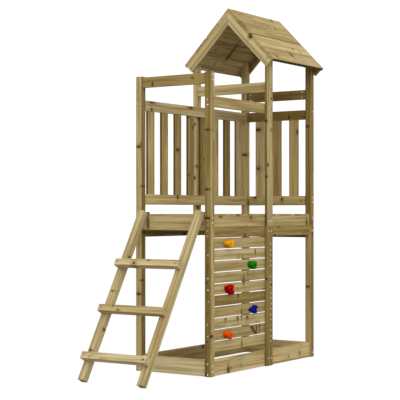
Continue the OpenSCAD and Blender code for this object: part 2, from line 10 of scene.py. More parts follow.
import bmesh
import bpy
import numpy as np
from mathutils import Euler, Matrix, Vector


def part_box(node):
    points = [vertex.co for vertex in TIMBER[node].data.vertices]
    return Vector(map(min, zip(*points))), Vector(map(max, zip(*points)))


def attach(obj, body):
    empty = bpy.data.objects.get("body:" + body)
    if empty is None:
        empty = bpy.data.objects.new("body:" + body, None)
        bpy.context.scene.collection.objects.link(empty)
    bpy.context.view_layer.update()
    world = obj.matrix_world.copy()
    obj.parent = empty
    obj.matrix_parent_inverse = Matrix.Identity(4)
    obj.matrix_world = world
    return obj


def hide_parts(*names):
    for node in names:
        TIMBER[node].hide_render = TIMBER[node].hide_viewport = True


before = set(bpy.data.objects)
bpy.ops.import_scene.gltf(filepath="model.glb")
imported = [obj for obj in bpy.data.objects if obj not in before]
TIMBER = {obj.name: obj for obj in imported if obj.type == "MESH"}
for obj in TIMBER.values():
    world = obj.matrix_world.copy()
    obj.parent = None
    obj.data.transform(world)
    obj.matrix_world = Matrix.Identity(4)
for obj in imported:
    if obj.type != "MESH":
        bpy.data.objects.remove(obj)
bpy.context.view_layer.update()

# %% [markdown]
# ## Camera
# The camera stands level, low and far to the right of the ladder, as a catalogue camera does. Its place and lens
# were worked out from straight edges of the frame. The view is shifted up a little instead of tilted, which keeps
# the posts upright.

# %% Camera
CAMERA_PLACE = (3.9642, -5.9202, 0.9135)
CAMERA_TURN = 33.964
CAMERA_LENS = 109.35
CAMERA_SENSOR = 36.0
CAMERA_SHIFT = 0.0308

camera_data = bpy.data.cameras.new("camera")
camera_data.lens = CAMERA_LENS
camera_data.sensor_width = CAMERA_SENSOR
camera_data.shift_y = CAMERA_SHIFT
camera = bpy.data.objects.new("camera", camera_data)
camera.location = CAMERA_PLACE
camera.rotation_euler = (math.radians(90), 0, math.radians(CAMERA_TURN))
bpy.context.scene.collection.objects.link(camera)
bpy.context.scene.camera = camera
print("camera lens", CAMERA_LENS, "mm, turned", CAMERA_TURN, "degrees")

# %% [markdown]
# ## Node maths as sums
# A material is a small program. Wiring Math nodes by hand is slow to write and hard to read, so this class wraps
# one output socket: adding or multiplying two of them adds the Math node, and node() adds any other node. The
# same class serves the geometry trees.

# %% The socket class
class Value:
    """One output socket; sums of Values add Math nodes to the same tree."""

    def __init__(self, tree, socket):
        self.tree, self.socket = tree, socket

    def node(self, kind, settings=None, inputs=None, out=0):
        """Adds a node, sets its settings, then its sockets, and returns one of its outputs."""
        made = self.tree.nodes.new(kind)
        for name, value in (settings or {}).items():
            if name == "stops":
                fill_ramp(made.color_ramp, value)
            else:
                setattr(made, name, value)
        for key, value in (inputs or {}).items():
            for one in value if isinstance(value, list) else [value]:
                if isinstance(one, Value):
                    self.tree.links.new(one.socket, made.inputs[key])
                else:
                    made.inputs[key].default_value = one
        return Value(self.tree, made.outputs[out])

    def other(self, name):
        """Another output of the same node."""
        return Value(self.tree, self.socket.node.outputs[name])

    def math(self, operation, first, second=0.0):
        return self.node("ShaderNodeMath", {"operation": operation}, {0: first, 1: second})

    def __add__(self, other):
        return self.math("ADD", self, other)

    __radd__ = __add__

    def __mul__(self, other):
        return self.math("MULTIPLY", self, other)

    __rmul__ = __mul__

    def __sub__(self, other):
        return self.math("SUBTRACT", self, other)

    def __rsub__(self, other):
        return self.math("SUBTRACT", other, self)

    def __truediv__(self, other):
        return self.math("DIVIDE", self, other)

    def __pow__(self, other):
        return self.math("POWER", self, other)

    def floor(self):
        return self.math("FLOOR", self)

    def fraction(self):
        return self.math("FRACT", self)

    def size(self):
        return self.math("ABSOLUTE", self)

    def rise(self, low, high, to_low=0.0, to_high=1.0):
        """A smooth step from to_low to to_high between low and high."""
        sockets = {"Value": self, "From Min": low, "From Max": high, "To Min": to_low, "To Max": to_high}
        return self.node("ShaderNodeMapRange", {"interpolation_type": "SMOOTHSTEP"}, sockets)


# %% [markdown]
# ## Small helpers
# Colours are mixed, vectors put together and taken apart, and places scaled so often that each gets a function.

# %% Colours, vectors and materials
def fill_ramp(ramp, stops):
    """Gives a colour ramp its stops, each a place and a colour."""
    while len(ramp.elements) > len(stops):
        ramp.elements.remove(ramp.elements[-1])
    for i, (place, colour) in enumerate(stops):
        element = ramp.elements[i] if i < len(ramp.elements) else ramp.elements.new(place)
        element.position, element.color = place, colour


def mix(factor, first, second, mode="MIX"):
    """Mixes two colours; any of the three may be a Value or plain numbers."""
    start = next(v for v in (factor, first, second) if isinstance(v, Value))
    settings = {"data_type": "RGBA", "blend_type": mode, "clamp_factor": True}
    return start.node("ShaderNodeMix", settings, {0: factor, 6: first, 7: second}, 2)


def vector(x, y, z):
    """A vector from three numbers, at least one of them a Value."""
    start = next(v for v in (x, y, z) if isinstance(v, Value))
    return start.node("ShaderNodeCombineXYZ", None, {0: x, 1: y, 2: z})


def split(value):
    """The three numbers of a vector or colour."""
    x = value.node("ShaderNodeSeparateXYZ", None, {0: value})
    return x, x.other("Y"), x.other("Z")


def new_material(name):
    """A bare material, its shader node and its Object coordinates."""
    material = bpy.data.materials.new(name)
    material.use_nodes = True
    tree = material.node_tree
    shader = tree.nodes["Principled BSDF"]
    coordinates = tree.nodes.new("ShaderNodeTexCoord")
    return material, shader, Value(tree, coordinates.outputs["Object"])


def connect(shader, **sockets):
    """Links or sets sockets of a shader; underscores in the names stand for spaces."""
    for name, value in sockets.items():
        socket = shader.inputs[name.replace("_", " ")]
        if isinstance(value, Value):
            value.tree.links.new(value.socket, socket)
        else:
            socket.default_value = value


# %% Noise and surfaces
def scaled(place, waves):
    """A place scaled for noise: waves per metre."""
    return place.node("ShaderNodeVectorMath", {"operation": "SCALE"}, {0: place, "Scale": waves})


def cloud(place, detail=2.0, roughness=0.5, out=0):
    """Soft noise; the place is already scaled."""
    sockets = {"Vector": place, "Scale": 1.0, "Detail": detail, "Roughness": roughness}
    return place.node("ShaderNodeTexNoise", None, sockets, out)


def chances(number, shift):
    """Three random numbers from a whole number."""
    return split(number.node("ShaderNodeTexWhiteNoise", {"noise_dimensions": "1D"}, {"W": number + shift}, 1))


def picked(chance, share, soft=0.01):
    """1 for a share of the random numbers, 0 for the rest."""
    return chance.rise(1.0 - share - soft, 1.0 - share + soft)


def along_way(place, direction):
    """How far a place, or a normal, reaches in one direction."""
    return place.node("ShaderNodeVectorMath", {"operation": "DOT_PRODUCT"},
                      {0: place, 1: tuple(direction)}, "Value")


def facing_way(start):
    """The direction in which the surface faces."""
    return start.node("ShaderNodeNewGeometry", None, None, "Normal")


def relief(height, strength, distance):
    """A bump from a height."""
    return height.node("ShaderNodeBump", None, {"Strength": strength, "Distance": distance, "Height": height})


def dress(node, material):
    """Puts one material on a CAD node."""
    slots = TIMBER[node].data.materials
    slots.clear()
    slots.append(material)


print("helpers for", bpy.app.version_string, "are ready")


# %% [markdown]
# ## Treated pine
# Each piece of timber was sawn from a log. If the colour is worked out from the distance to the middle of that
# log, the arched grain on wide faces, the straight grain on narrow ones and the rings on the cut ends all agree.
# First come the colours, how much of each is laid over the wood, and the sizes of the grain.

# %% Wood colours and grain
EARLY_WOOD = (0.570, 0.462, 0.262, 1)
LATE_WOOD = (0.306, 0.217, 0.088, 1)
GREEN_SALT = (0.356, 0.332, 0.166, 1)
HEART_AND_SHADE_TINT = (0.57, 0.51, 0.32)
KNOT_WOOD = (0.062, 0.031, 0.008, 1)
KNOT_EDGE = (0.020, 0.010, 0.003, 1)
KNOT_BROWN = (0.205, 0.122, 0.036, 1)
END_WOOD = (0.440, 0.330, 0.160, 1)
WOOD_GLOSS = 0.15
WOOD_ROUGH = 0.70

# How much each part of the grain darkens the wood, and how much of each colour is laid over it
LINE_DARK, YEAR_DARK, STREAK_DARK, FIBRE_DARK, DARK_SHIFT = 0.55, 0.46, 0.95, 0.65, 0.41
GREEN_SHARE, END_SHARE, HALO_SHARE, KNOT_SHARE, CHECK_SHARE = 0.35, 0.30, 0.55, 0.92, 0.70

RING_PITCH = 0.0062
RING_WOBBLE = 0.008
RING_BEND = 0.008
LOG_LENGTH = 7.0
# The middle of the log lies to the side of the board's middle and below it, and drifts
LOG_SIDE, LOG_NEAR, LOG_DEEP, LOG_DRIFT = 0.06, 0.016, 0.040, 0.07
LOG_WAVES, LOG_SEEDS = 1.5, 9.0
SQUARE_SLACK = 0.002

# Noise in a board: waves per metre along it and across it, shift, detail, roughness
WOBBLE = (3.0, 20.0, 0.0, 3.0, 0.6)
FIBRE = (9.0, 520.0, 0.0, 2.0, 0.6)
STREAK = (1.9, 70.0, 0.0, 3.0, 0.6)
PATCH = (2.6, 9.0, 40.0, 2.0, 0.5)
CHECK = (2.2, 95.0, 17.0, 1.0, 0.5)
print("wood: a ring every", RING_PITCH * 1000, "mm, heartwood tint", HEART_AND_SHADE_TINT)

# %% [markdown]
# ## Where a board lies in its log
# turn is the rotation that brings a board's length to X. In that turned frame each board gets its own stretch of
# log, whose middle lies off the board and wanders slowly along it.

# %% Boards and logs
ALONG_X = (0.0, 0.0, 0.0)
ALONG_Y = (0.0, 0.0, -90.0)
ALONG_Z = (0.0, 90.0, 0.0)


def turn_matrix(turn):
    """The rotation as a matrix."""
    return Euler([math.radians(a) for a in turn]).to_matrix()


def turned_box(node, turn):
    """Lowest and highest corner of a CAD node in the turned frame."""
    points = np.empty(len(TIMBER[node].data.vertices) * 3, np.float32)
    TIMBER[node].data.vertices.foreach_get("co", points)
    points = points.reshape(-1, 3) @ np.array(turn_matrix(turn)).T
    return points.min(axis=0), points.max(axis=0)


def heart_and_shade_tint(brown):
    """What a share of heartwood does to the colour: 0 is sapwood, 1 plain heartwood, more is darker still. The
    same tint also paints shade on some pieces.
    """
    return tuple(c ** brown for c in HEART_AND_SHADE_TINT) + (1,)


def grain_noise(board, kind):
    """Noise drawn out along a board, which is its place along, across and through."""
    along, across, through = board
    length, width, shift, detail, roughness = kind
    return cloud(vector(along * length + shift, across * width, through * width), detail, roughness)


def log_radius(board, chance, wobble):
    """Distance to the middle of the log."""
    along, across, through = board
    _, side, deep = chance
    drift_y, drift_z, _ = split(cloud(vector(along * LOG_WAVES, side * LOG_SEEDS, deep * LOG_SEEDS), out=1))
    log_y = across + (side - 0.5) * LOG_SIDE + (drift_y - 0.5) * LOG_DRIFT
    log_z = through + LOG_NEAR + deep * LOG_DEEP + (drift_z - 0.5) * LOG_DRIFT
    return (log_y * log_y + log_z * log_z) ** 0.5 + (wobble - 0.5) * RING_WOBBLE


# %% [markdown]
# ## Knots
# Branches leave knots: small round ones in some cells of the unrolled surface, spikes where the saw ran along the
# branch, and a few large ones, each at its own place. Brown wood lies around each like a halo, and the rings bend
# there.

# %% Knot sizes and places
KNOT_CELL = 0.105
KNOT_SIZE = (0.0035, 0.0095)
KNOT_JITTER = 0.85
KNOT_WANDER = 0.012
KNOT_SEEDS = 11.0
UNROLL = 0.7
CLEAR_WOOD, SOME_KNOTS = 0.05, 0.26
SPIKE_CELL = 0.19
SPIKE_SEEDS = (3.7, 5.3)
SPIKE_WIDTH = 0.0070
SPIKE_BLUNT = 0.0013
SPIKE_REACH = (0.016, 0.038)
SPIKE_SLANT = 0.7
SPIKE_WANDER = 0.006
SPIKE_SHARE = 0.12
LARGE_SPREAD = 1.3
LARGE_DEEP = 1.6
LARGE_WOBBLE = 0.9

# Large knots: x, y, z of the middle, then the reach along the grain and across it, all in millimetres
LARGE_KNOTS = {
    "climbing_boards": [
        (249, 175, 684, 4, 13), (249, 45, 524, 5, 19), (247, 273, 456, 12, 5), (249, -14, 440, 5, 15),
        (249, 24, 330, 5, 17), (249, -19, 308, 5, 13), (249, 136, 242, 11, 7), (249, 147, 232, 12, 9),
        (249, 158, 222, 12, 9), (249, 170, 212, 12, 8), (249, 182, 205, 14, 7), (249, 188, 232, 6, 15),
        (249, 222, 240, 5, 17), (249, 26, 155, 4, 16)],
    "right_upper_rim": [(249, -200, 889, 14, 4), (249, 126, 884, 8, 10), (249, 795, 851, 8, 16)],
    "right_lower_rim": [(249, 61, 776, 8, 16), (249, 448, 825, 8, 4), (249, 400, 775, 14, 4)],
    "right_base_board": [(249, -118, 22, 11, 18)],
    "wall_stile": [(258, 281, 518, 5, 8), (266, 334, 483, 10, 8)],
    "front_left_upper_post": [(-240, -316, 1291, 6, 16), (-218, -297, 1064, 5, 9)],
    "front_left_lower_post": [(-240, -316, 444, 6, 16), (-218, -304, 523, 4, 9), (-218, -290, 796, 7, 6)],
    "front_right_upper_post": [(235, -316, 1041, 5.5, 14), (238, -316, 1371, 5.5, 14), (240, -316, 880, 6, 14)],
    "front_right_lower_post": [(230, -316, 524, 5, 10), (232, -316, 195, 4, 10), (259, -307, 225, 8, 9),
                               (228, -316, 15, 7, 12)],
    "back_left_upper_post": [(-233, 834, 1289, 7, 16)],
    "back_right_upper_post": [(233, 828, 1457, 8, 10)],
    "back_right_lower_post": [(237, 828, 444, 6, 11), (259, 852, 780, 6, 6)],
    "front_rim": [(-178, -306, 850, 5, 28)],
    "left_base_board": [(-228, 335, 84, 10, 10)],
    "left_lower_rim": [(-228, 131, 784, 14, 8)],
    "left_ladder_side": [(-198, -799, 167, 5, 4), (-178, -711, 272, 6, 7), (-194, -612, 478, 3.5, 7),
                         (-178, -484, 662, 5, 6)],
    "middle_rung": [(-120, -705, 410, 3, 8), (-77, -705, 385, 10, 3)],
    "top_rung": [(12, -555, 649, 8, 3)],
    "front_top_rail": [(130, -306, 1666, 6, 5), (-147, -306, 1645, 5, 10)],
    "left_guard_rail": [(-228, -201, 1513, 7, 8), (-228, -196, 1554, 20, 4), (-228, 201, 1551, 18, 5)],
    "left_bottom_rail": [(-228, 63, 1007, 7, 10)],
    "left_slats": [(-231, 69, 1289, 8, 16), (-236, 179, 1495, 8, 5), (-230, 231, 1434, 7, 6)],
    "middle_board_left": [(-249, 298, 1198, 6, 8), (-251, 281, 1457, 6, 5), (-252, 280, 1126, 8, 5)],
    "middle_board_right": [(258, 281, 1456, 7, 6), (258, 281, 1125, 6, 6), (266, 292, 1196, 6, 7),
                           (266, 332, 1592, 4, 6)],
    "back_guard_rail": [(95, 838, 1521, 6, 13), (205, 838, 1516, 6, 7)],
    "back_bottom_rail": [(-213, 838, 974, 8, 12)],
    "back_slats": [(-139, 842, 1450, 8, 16), (154, 844, 1426, 10, 5)],
    "right_roof_planks": [(99, 278, 2043, 6, 30), (161, 262, 1964, 9, 9), (10, 762, 2135, 9, 8),
                          (73, 705, 2071, 6, 6), (211, 680, 1931, 6, 6), (262, 577, 1878, 9, 16)],
    "front_right_rafter": [(156, 262, 1962, 9, 9)],
    "left_roof_planks": [(-184, 600, 1937, 9, 45), (-215, 602, 1905, 11, 18)],
}
print("large knots:", sum(len(placed) for placed in LARGE_KNOTS.values()), "on", len(LARGE_KNOTS), "pieces")


# %% Three kinds of knot
def round_knots(board, shift, wobble, share):
    """Round knots in a share of the cells: distance in knot radii, knot and halo."""
    along, across, through = board
    unrolled = (across + through) * UNROLL / KNOT_CELL + shift * KNOT_SEEDS
    place = vector((along + wobble * KNOT_WANDER) / KNOT_CELL, unrolled, 0.0)
    cell = place.node("ShaderNodeTexVoronoi", {"voronoi_dimensions": "2D", "feature": "F1"},
                      {"Vector": place, "Scale": 1.0, "Randomness": KNOT_JITTER})
    large, chance, _ = split(cell.other("Color"))
    kept = picked(chance, share)
    smallest, largest = KNOT_SIZE
    off = cell * KNOT_CELL / (smallest + large * large * (largest - smallest))
    return off, off.rise(1.15, 0.75) * kept, off.rise(4.5, 0.8) * kept


def spike_knots(board, half, number, wobble):
    """Spikes, one place in each length of board, from an edge inwards to a blunt point: knot and halo."""
    along, across, through = board
    wide_way, thin_way = (across, through) if half[1] >= half[2] else (through, across)
    spot = (along / SPIKE_CELL).floor()
    here, shift, reach = chances(spot * SPIKE_SEEDS[0] + number, 0.5)
    broad, side, slant = chances(spot * SPIKE_SEEDS[1] + number, 0.25)
    edge = side.rise(0.49, 0.51, -1.0, 1.0)
    depth = half[1] + half[2] - (wide_way * edge + thin_way.size())
    shortest, longest = SPIKE_REACH
    inward = depth / (shortest + reach * (longest - shortest))
    middle = (spot + 0.3 + shift * 0.4) * SPIKE_CELL
    middle = middle + (slant - 0.5) * SPIKE_SLANT * wide_way + (wobble - 0.5) * SPIKE_WANDER
    taper = inward.math("MAXIMUM", 1.0 - inward, 0.0) ** 0.5
    wide = taper * SPIKE_WIDTH * (0.6 + broad * 0.4) - SPIKE_BLUNT
    has_spike = picked(here, SPIKE_SHARE)
    off = (along - middle).size()
    spike = (wide - off).rise(-0.0012, 0.0014) * has_spike
    return spike, (wide * 2.4 + 0.002 - off).rise(0.0, 0.010) * has_spike


def large_knots(place, turn, thin, placed, wobble):
    """The nearest of the large knots: knot and halo. thin is the board's thin axis; a knot runs through it."""
    nearest = None
    for x, y, z, along, across in placed:
        sizes = [along, across, across]
        sizes[thin] = max(along, across) * LARGE_DEEP
        middle = turn_matrix(turn) @ Vector((x, y, z))
        sockets = {"Vector": place, "Location": tuple(c / 1000 for c in middle),
                   "Scale": tuple(c / 1000 * LARGE_SPREAD for c in sizes)}
        away = place.node("ShaderNodeMapping", {"vector_type": "TEXTURE"}, sockets)
        share = away.node("ShaderNodeVectorMath", {"operation": "LENGTH"}, {0: away}, "Value")
        nearest = share.math("MINIMUM", nearest, share) if nearest else share
    off = nearest + (wobble - 0.5) * LARGE_WOBBLE
    return off.rise(1.20, 0.70), off.rise(2.8, 0.9)


# %% [markdown]
# ## The finished wood
# A piece that holds several boards gets its own stretch of log and its own tint for each of them, by the board's
# number. The colour is then laid on in turn: rings, green salt, cut ends, heartwood, knots and fine cracks.

# %% Pine
def pine(name, node, turn, brown, boards=None, dark_side=None, seed=0.0, knots=SOME_KNOTS):
    """Pine with its grain along the axis that turn brings to X.

    brown is how much heartwood colour the piece has, and on some pieces painted shade too, one number or one for
    each board of a row. boards is (axis, start, pitch, count, width) in the turned frame. dark_side is (direction,
    brown)
    of a side that is browner: heartwood on posts and slats, painted shade on the roof planks' down-facing edges.
    knots is the share of cells that hold a round knot."""
    material, shader, straight = new_material(name)
    low, high = turned_box(node, turn)
    half = (high - low) / 2
    square = abs(half[1] - half[2]) < SQUARE_SLACK
    radians = tuple(math.radians(a) for a in turn)
    place = straight.node("ShaderNodeMapping", {"vector_type": "POINT"}, {"Vector": straight, "Rotation": radians})
    along, across, through = split(place)
    across, through = across - (low[1] + half[1]), through - (low[2] + half[2])

    # Each board's own number, tint and stretch of log
    if boards:
        axis, start, pitch, count, width = boards
        half[axis] = width / 2
        row = along.node("ShaderNodeSeparateXYZ", None, {0: place}, axis)
        index = ((row - start) / pitch).floor()
        local = row - start - (index + 0.5) * pitch
        across, through = (local, through) if axis == 1 else (across, local)
        number = index + seed
        stops = [((i + 0.01) / count, heart_and_shade_tint(b)) for i, b in enumerate(brown)]
        tint = index.node("ShaderNodeValToRGB", {"stops": stops}, {0: (index + 0.5) / count})
        tint.socket.node.color_ramp.interpolation = "CONSTANT"
    else:
        number, tint = along * 0.0 + seed, heart_and_shade_tint(brown)
    chance = chances(number, 0.0)
    board = along + chance[0] * LOG_LENGTH, across, through
    wobble = grain_noise(board, WOBBLE)

    # Knots: round ones everywhere, and large ones or, on flat boards without them, spikes
    off, knot, halo = round_knots(board, chance[2], wobble, knots)
    more = None
    if node in LARGE_KNOTS:
        more = large_knots(place, turn, 1 if half[1] < half[2] else 2, LARGE_KNOTS[node], wobble)
    elif not square:
        more = spike_knots(board, half, number, wobble)
    if more:
        knot, halo = knot.math("MAXIMUM", knot, more[0]), halo + more[1]

    # Growth rings: pale wood, then a narrow dark line, each ring with a tone of its own
    rings = (log_radius(board, chance, wobble) + halo * RING_BEND) / RING_PITCH
    ring = rings.fraction()
    line = ring.rise(0.30, 0.90) * ring.rise(1.0, 0.92)
    year = rings.node("ShaderNodeTexWhiteNoise", {"noise_dimensions": "1D"}, {"W": rings.floor() + number})
    fibre, streak, patch = [grain_noise(board, kind) for kind in (FIBRE, STREAK, PATCH)]
    check = (grain_noise(board, CHECK) - 0.5).size().rise(0.008, 0.002) * patch.rise(0.56, 0.64)

    # Cut ends are darker
    facing = facing_way(place)
    end = along_way(facing, turn_matrix(turn).transposed() @ Vector((1, 0, 0))).size().rise(0.75, 0.95)

    dark = line * LINE_DARK + year * YEAR_DARK + streak.rise(0.38, 0.66) * STREAK_DARK
    dark = dark + (fibre - 0.5) * FIBRE_DARK - DARK_SHIFT
    colour = mix(dark, EARLY_WOOD, LATE_WOOD)
    colour = mix(patch.rise(0.42, 0.72) * GREEN_SHARE, colour, GREEN_SALT)
    colour = mix(end * END_SHARE, colour, END_WOOD)
    colour = mix(1.0, colour, tint, "MULTIPLY")
    # One browner side: heartwood on posts and slats, painted shade on the down-facing edges of the roof planks
    if dark_side:
        turned = along_way(facing, dark_side[0]).rise(0.45, 0.80) * (0.7 + streak * 0.6)
        colour = mix(turned, colour, heart_and_shade_tint(dark_side[1]), "MULTIPLY")
    colour = mix(halo * HALO_SHARE, colour, KNOT_BROWN)
    knot_ring = (off * 3.0).fraction().rise(0.3, 0.9) * 0.4 + knot.rise(0.9, 0.3) * 0.5
    colour = mix(knot * KNOT_SHARE, colour, mix(knot_ring, KNOT_WOOD, KNOT_EDGE))
    colour = mix(check * CHECK_SHARE, colour, KNOT_EDGE)
    shade = 0.92 + chance[0] * 0.16
    warm = vector(shade, shade * (0.985 + chance[1] * 0.03), shade * (0.95 + chance[1] * 0.10))
    colour = mix(1.0, colour, warm, "MULTIPLY")

    rough = WOOD_ROUGH + fibre * 0.16 - line * 0.06 + knot * 0.05
    height = line * 0.5 + fibre * 0.55 - knot * 0.5 + streak * 0.3 - check * 0.9
    connect(shader, Base_Color=colour, Roughness=rough, Normal=relief(height, 0.35, 0.0006),
            Specular_IOR_Level=WOOD_GLOSS)
    return material


# %% [markdown]
# ## Which piece gets which log
# Every board is a different piece of the tree, so each gets its own seed and its own share of brown heartwood;
# on the pieces at the back and under the roof that share also paints in shade. The grain always runs along the
# board. Some pieces are sawn so that one side is heartwood, and the down-facing lower edges of the roof planks
# get painted shade.

# %% Single boards
ROOF_PITCH = 45.5
LADDER_LEAN = 31.0
SLOPE_RIGHT = (0.0, -ROOF_PITCH, 0.0)
SLOPE_LEFT = (0.0, ROOF_PITCH, 0.0)
UP_LADDER = (LADDER_LEAN, 90.0, 0.0)
TO_LADDER = (0.0, -1.0, 0.0)
TO_WALL = (1.0, 0.0, 0.0)
DOWN_LEFT = (-0.70, 0.0, -0.71)
DOWN_RIGHT = (0.70, 0.0, -0.71)

# On back_lower_rim, back_top_rail, back_guard_rail and back_right_upper_post the high brown also paints in the
# shade at the back and under the roof
SINGLE_BOARDS = {
    ALONG_Z: {
        "front_left_lower_post": 0.45, "front_right_lower_post": 0.37, "back_left_lower_post": 0.8,
        "back_right_lower_post": 0.57, "front_left_upper_post": 0.33, "front_right_upper_post": 0.43,
        "back_left_upper_post": 0.45, "back_right_upper_post": 1.5, "middle_board_left": 0.05,
        "middle_board_right": 0.2, "wall_stile": 1.3, "rafter_cleats": 0.7, "post_dowels": 0.3},
    ALONG_X: {
        "front_base_board": -0.05, "back_base_board": 0.5, "back_lower_rim": 2.6, "front_rim": 0.38,
        "back_upper_rim": 0.8, "front_top_rail": 1.02, "middle_top_rail": 0.3, "back_top_rail": 1.24,
        "back_guard_rail": 1.78, "back_bottom_rail": 0.45,
        "top_rung": 0.12, "middle_rung": 0.42, "bottom_rung": -0.07},
    ALONG_Y: {
        "left_base_board": 0.7, "right_base_board": 0.26, "left_lower_rim": 0.8, "right_lower_rim": 1.2,
        "left_upper_rim": 0.6, "right_upper_rim": 0.42, "right_guard_rail": 0.54, "left_guard_rail": 0.0,
        "left_bottom_rail": 0.28},
    SLOPE_LEFT: {"front_left_rafter": 0.22, "back_left_rafter": 0.8},
    SLOPE_RIGHT: {"front_right_rafter": 0.07, "back_right_rafter": 0.8},
    UP_LADDER: {"left_ladder_side": 0.12, "right_ladder_side": 0.31},
}
# Browner sides: heartwood on the posts, slats and middle board; on the roof planks, painted shade on the lower
# edges
HEARTWOOD_AND_SHADE_SIDES = {
    "front_left_lower_post": (TO_WALL, 0.9), "front_left_upper_post": (TO_WALL, 1.15),
    "front_right_lower_post": (TO_LADDER, 1.35), "front_right_upper_post": (TO_LADDER, 0.75),
    "middle_board_right": (TO_LADDER, 1.5), "back_right_lower_post": (TO_WALL, 1.13),
    "left_slats": (TO_LADDER, 1.9), "left_roof_planks": (DOWN_LEFT, 2.2), "right_roof_planks": (DOWN_RIGHT, 3.2),
}
FEW_KNOTS = ("front_left_rafter", "front_right_rafter", "left_ladder_side", "right_ladder_side",
             "top_rung", "middle_rung", "bottom_rung", "front_top_rail", "middle_top_rail", "front_base_board")
FIRST_SEED, NEXT_BOARD, NEXT_ROW = 3.0, 7.0, 31.0
seed = FIRST_SEED
for turn, group in SINGLE_BOARDS.items():
    for node, brown in group.items():
        knots = CLEAR_WOOD if node in FEW_KNOTS else SOME_KNOTS
        dress(node, pine("pine_" + node, node, turn, brown, None, HEARTWOOD_AND_SHADE_SIDES.get(node), seed, knots))
        seed += NEXT_BOARD
print("single boards:", sum(len(group) for group in SINGLE_BOARDS.values()))


# %% Rows of boards
def board_row(node, turn, axis, count, width):
    """A row of boards in the turned frame: each cell has its board in the middle."""
    low, high = (float(corner[axis]) for corner in turned_box(node, turn))
    pitch = (high - low - width) / (count - 1)
    return axis, low - (pitch - width) / 2, pitch, count, width


ROOF_LEFT = (0.0, ROOF_PITCH, -90.0)
ROOF_RIGHT = (0.0, -ROOF_PITCH, -90.0)
DECK_TONES = [0.5, 0.9, 0.4, 0.6, 0.8, 0.3, 1.0, 0.5, 0.6] * 2
BOARD_ROWS = {
    "deck_boards": (ALONG_X, 1, 0.0567, DECK_TONES),
    "climbing_boards": (ALONG_Y, 2, 0.058, [0.43, 0.74, 0.14, 0.69, 1.30, 0.34, 0.51, 0.53, 0.18, 0.57]),
    "left_slats": (ALONG_Z, 1, 0.065, [0.60, 0.62, 0.84, 0.84, 1.14, 0.46, 1.40, 0.06]),
    "back_slats": (ALONG_Z, 2, 0.065, [0.69, 0.87, 0.15]),
    "left_roof_planks": (ROOF_LEFT, 1, 0.1114, [0.08, 0.50, 0.68, 0.32]),
    "right_roof_planks": (ROOF_RIGHT, 1, 0.1114, [0.54, 0.42, 0.70, 0.44]),
}
for node, (turn, axis, width, tones) in BOARD_ROWS.items():
    row = board_row(node, turn, axis, len(tones), width)
    dress(node, pine("pine_" + node, node, turn, tones, row, HEARTWOOD_AND_SHADE_SIDES.get(node), seed))
    seed += NEXT_ROW
    print(node, "boards start at", round(row[1], 4), "pitch", round(row[2], 4))

# %% [markdown]
# ## Zinc and painted steel
# Zinc plating is bright, and its crystals turn the light in patches. Each fastener also has a tone of its own,
# picked by its place, and about a quarter of them are painted near-black as the shade in a deep countersink.
# Heads that face up to the rain are brown, and those on the left, the weather side, have lost their shine. The
# ladder's bolts are a duller zinc, and those deep in the holds are painted dark all over as the shade of their
# recesses. The ladder hooks are powder-coated black, with a fine orange-peel surface.

# %% Metals
FASTENER_CELL = 0.024
SCREWS_SHADED, BOLTS_SHADED, ALL_SHADED = 0.25, 0.30, 1.10
CRYSTAL_WAVES, PEEL_WAVES, WEAR_WAVES = 900.0, 700.0, 45.0
WEATHER_SIDE = (0.18, 0.22)
FADED_SHARE = 0.8
RAIN_SLOPE = (0.35, 0.60)
ZINC_BRIGHT = (0.920, 0.920, 0.900, 1)
ZINC_DULL = (0.480, 0.470, 0.440, 1)
ZINC_PAINTED_SHADE = (0.075, 0.058, 0.036, 1)
ZINC_RUSTED = (0.300, 0.220, 0.100, 1)
ZINC_FADED = (0.400, 0.360, 0.260, 1)
BOLT_BRIGHT = (0.300, 0.300, 0.290, 1)
BOLT_DULL = (0.160, 0.155, 0.145, 1)
COAT_BLACK = (0.006, 0.006, 0.006, 1)
COAT_WORN = (0.016, 0.015, 0.014, 1)
COAT_GLOSS = 0.12


def zinc_plating(name, shaded_share, bright=ZINC_BRIGHT, dull=ZINC_DULL):
    """Zinc of which a share of the fasteners is painted near-black as shade, browner and duller where rain reaches
    it.
    """
    material, shader, place = new_material(name)
    cell = place.node("ShaderNodeVectorMath", {"operation": "SNAP"}, {0: place, 1: (FASTENER_CELL,) * 3})
    tone = cell.node("ShaderNodeTexWhiteNoise", {"noise_dimensions": "3D"}, {"Vector": cell})
    finer = scaled(place, CRYSTAL_WAVES)
    crystal = finer.node("ShaderNodeTexVoronoi", None, {"Vector": finer, "Scale": 1.0}, "Color")
    sparkle, _, _ = split(crystal)
    stain = cloud(finer, 2.0) * 0.5
    colour = mix(tone * 0.30 + stain + sparkle * 0.25 - 0.25, bright, dull)
    # Painted shade: a share of the heads, and all the hold bolts, are near-black as the shade in their deep holes
    colour = mix(picked(tone, shaded_share, 0.03), colour, ZINC_PAINTED_SHADE)
    colour = mix(along_way(place, (-1, 0, 0)).rise(*WEATHER_SIDE) * FADED_SHARE, colour, ZINC_FADED)
    rain = along_way(facing_way(place), (0, 0, 1)).rise(*RAIN_SLOPE)
    colour = mix(rain, colour, ZINC_RUSTED)
    rough = 0.30 + sparkle * 0.16 + stain * 0.2 + rain * 0.3
    connect(shader, Base_Color=colour, Metallic=1.0 - rain, Roughness=rough)
    return material


def black_coat():
    """Black powder coat, worn in places."""
    material, shader, place = new_material("black_coat")
    peel = cloud(scaled(place, PEEL_WAVES), 2.0)
    worn = cloud(scaled(place, WEAR_WAVES), 4.0, 0.65).rise(0.50, 0.70)
    connect(shader, Base_Color=mix(worn, COAT_BLACK, COAT_WORN), Roughness=0.55 + worn * 0.2,
            Normal=relief(peel, 0.3, 0.0003), Specular_IOR_Level=COAT_GLOSS)
    return material


